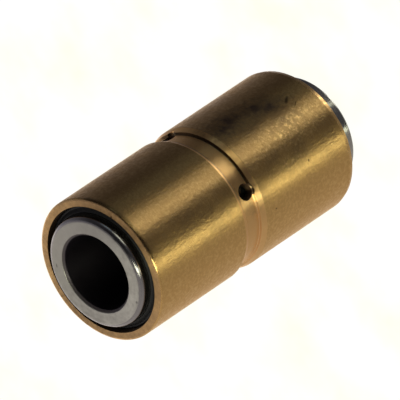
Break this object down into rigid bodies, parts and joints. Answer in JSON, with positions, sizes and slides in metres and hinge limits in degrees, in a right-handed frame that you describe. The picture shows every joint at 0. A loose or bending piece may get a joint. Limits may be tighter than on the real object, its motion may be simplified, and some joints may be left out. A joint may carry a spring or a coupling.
{
  "type": "spring shackle bushing",
  "caption": "Greased spring shackle bushing: a grooved bronze outer bush with grease holes, a steel inner sleeve that turns in it, and a rubber lip seal in each end.",
  "frame": {"origin": "centre of the inner sleeve's lower end face, the long end, which the bushing stands on", "axes": "+Z along the common axis, from the sleeve's long end to its short end; +X through one of the four grease holes"},
  "size_m": [0.057, 0.057, 0.1206],
  "materials": {
    "bush_bronze": "fine turned, satin, with a few dark stains",
    "sleeve_steel": "ground outside, matt end faces",
    "seal_rubber": "satin moulded black"
  },
  "bodies": {
    "bush": {"outer_bush": "bush_bronze", "upper_seal": "seal_rubber", "lower_seal": "seal_rubber"},
    "sleeve": {"inner_sleeve": "sleeve_steel"}
  },
  "joints": [
    {"name": "sleeve_turn", "type": "hinge", "parent": "bush", "child": "sleeve", "pos_m": [0, 0, 0.0629], "axis": [0, 0, 1], "continuous": true}
  ]
}
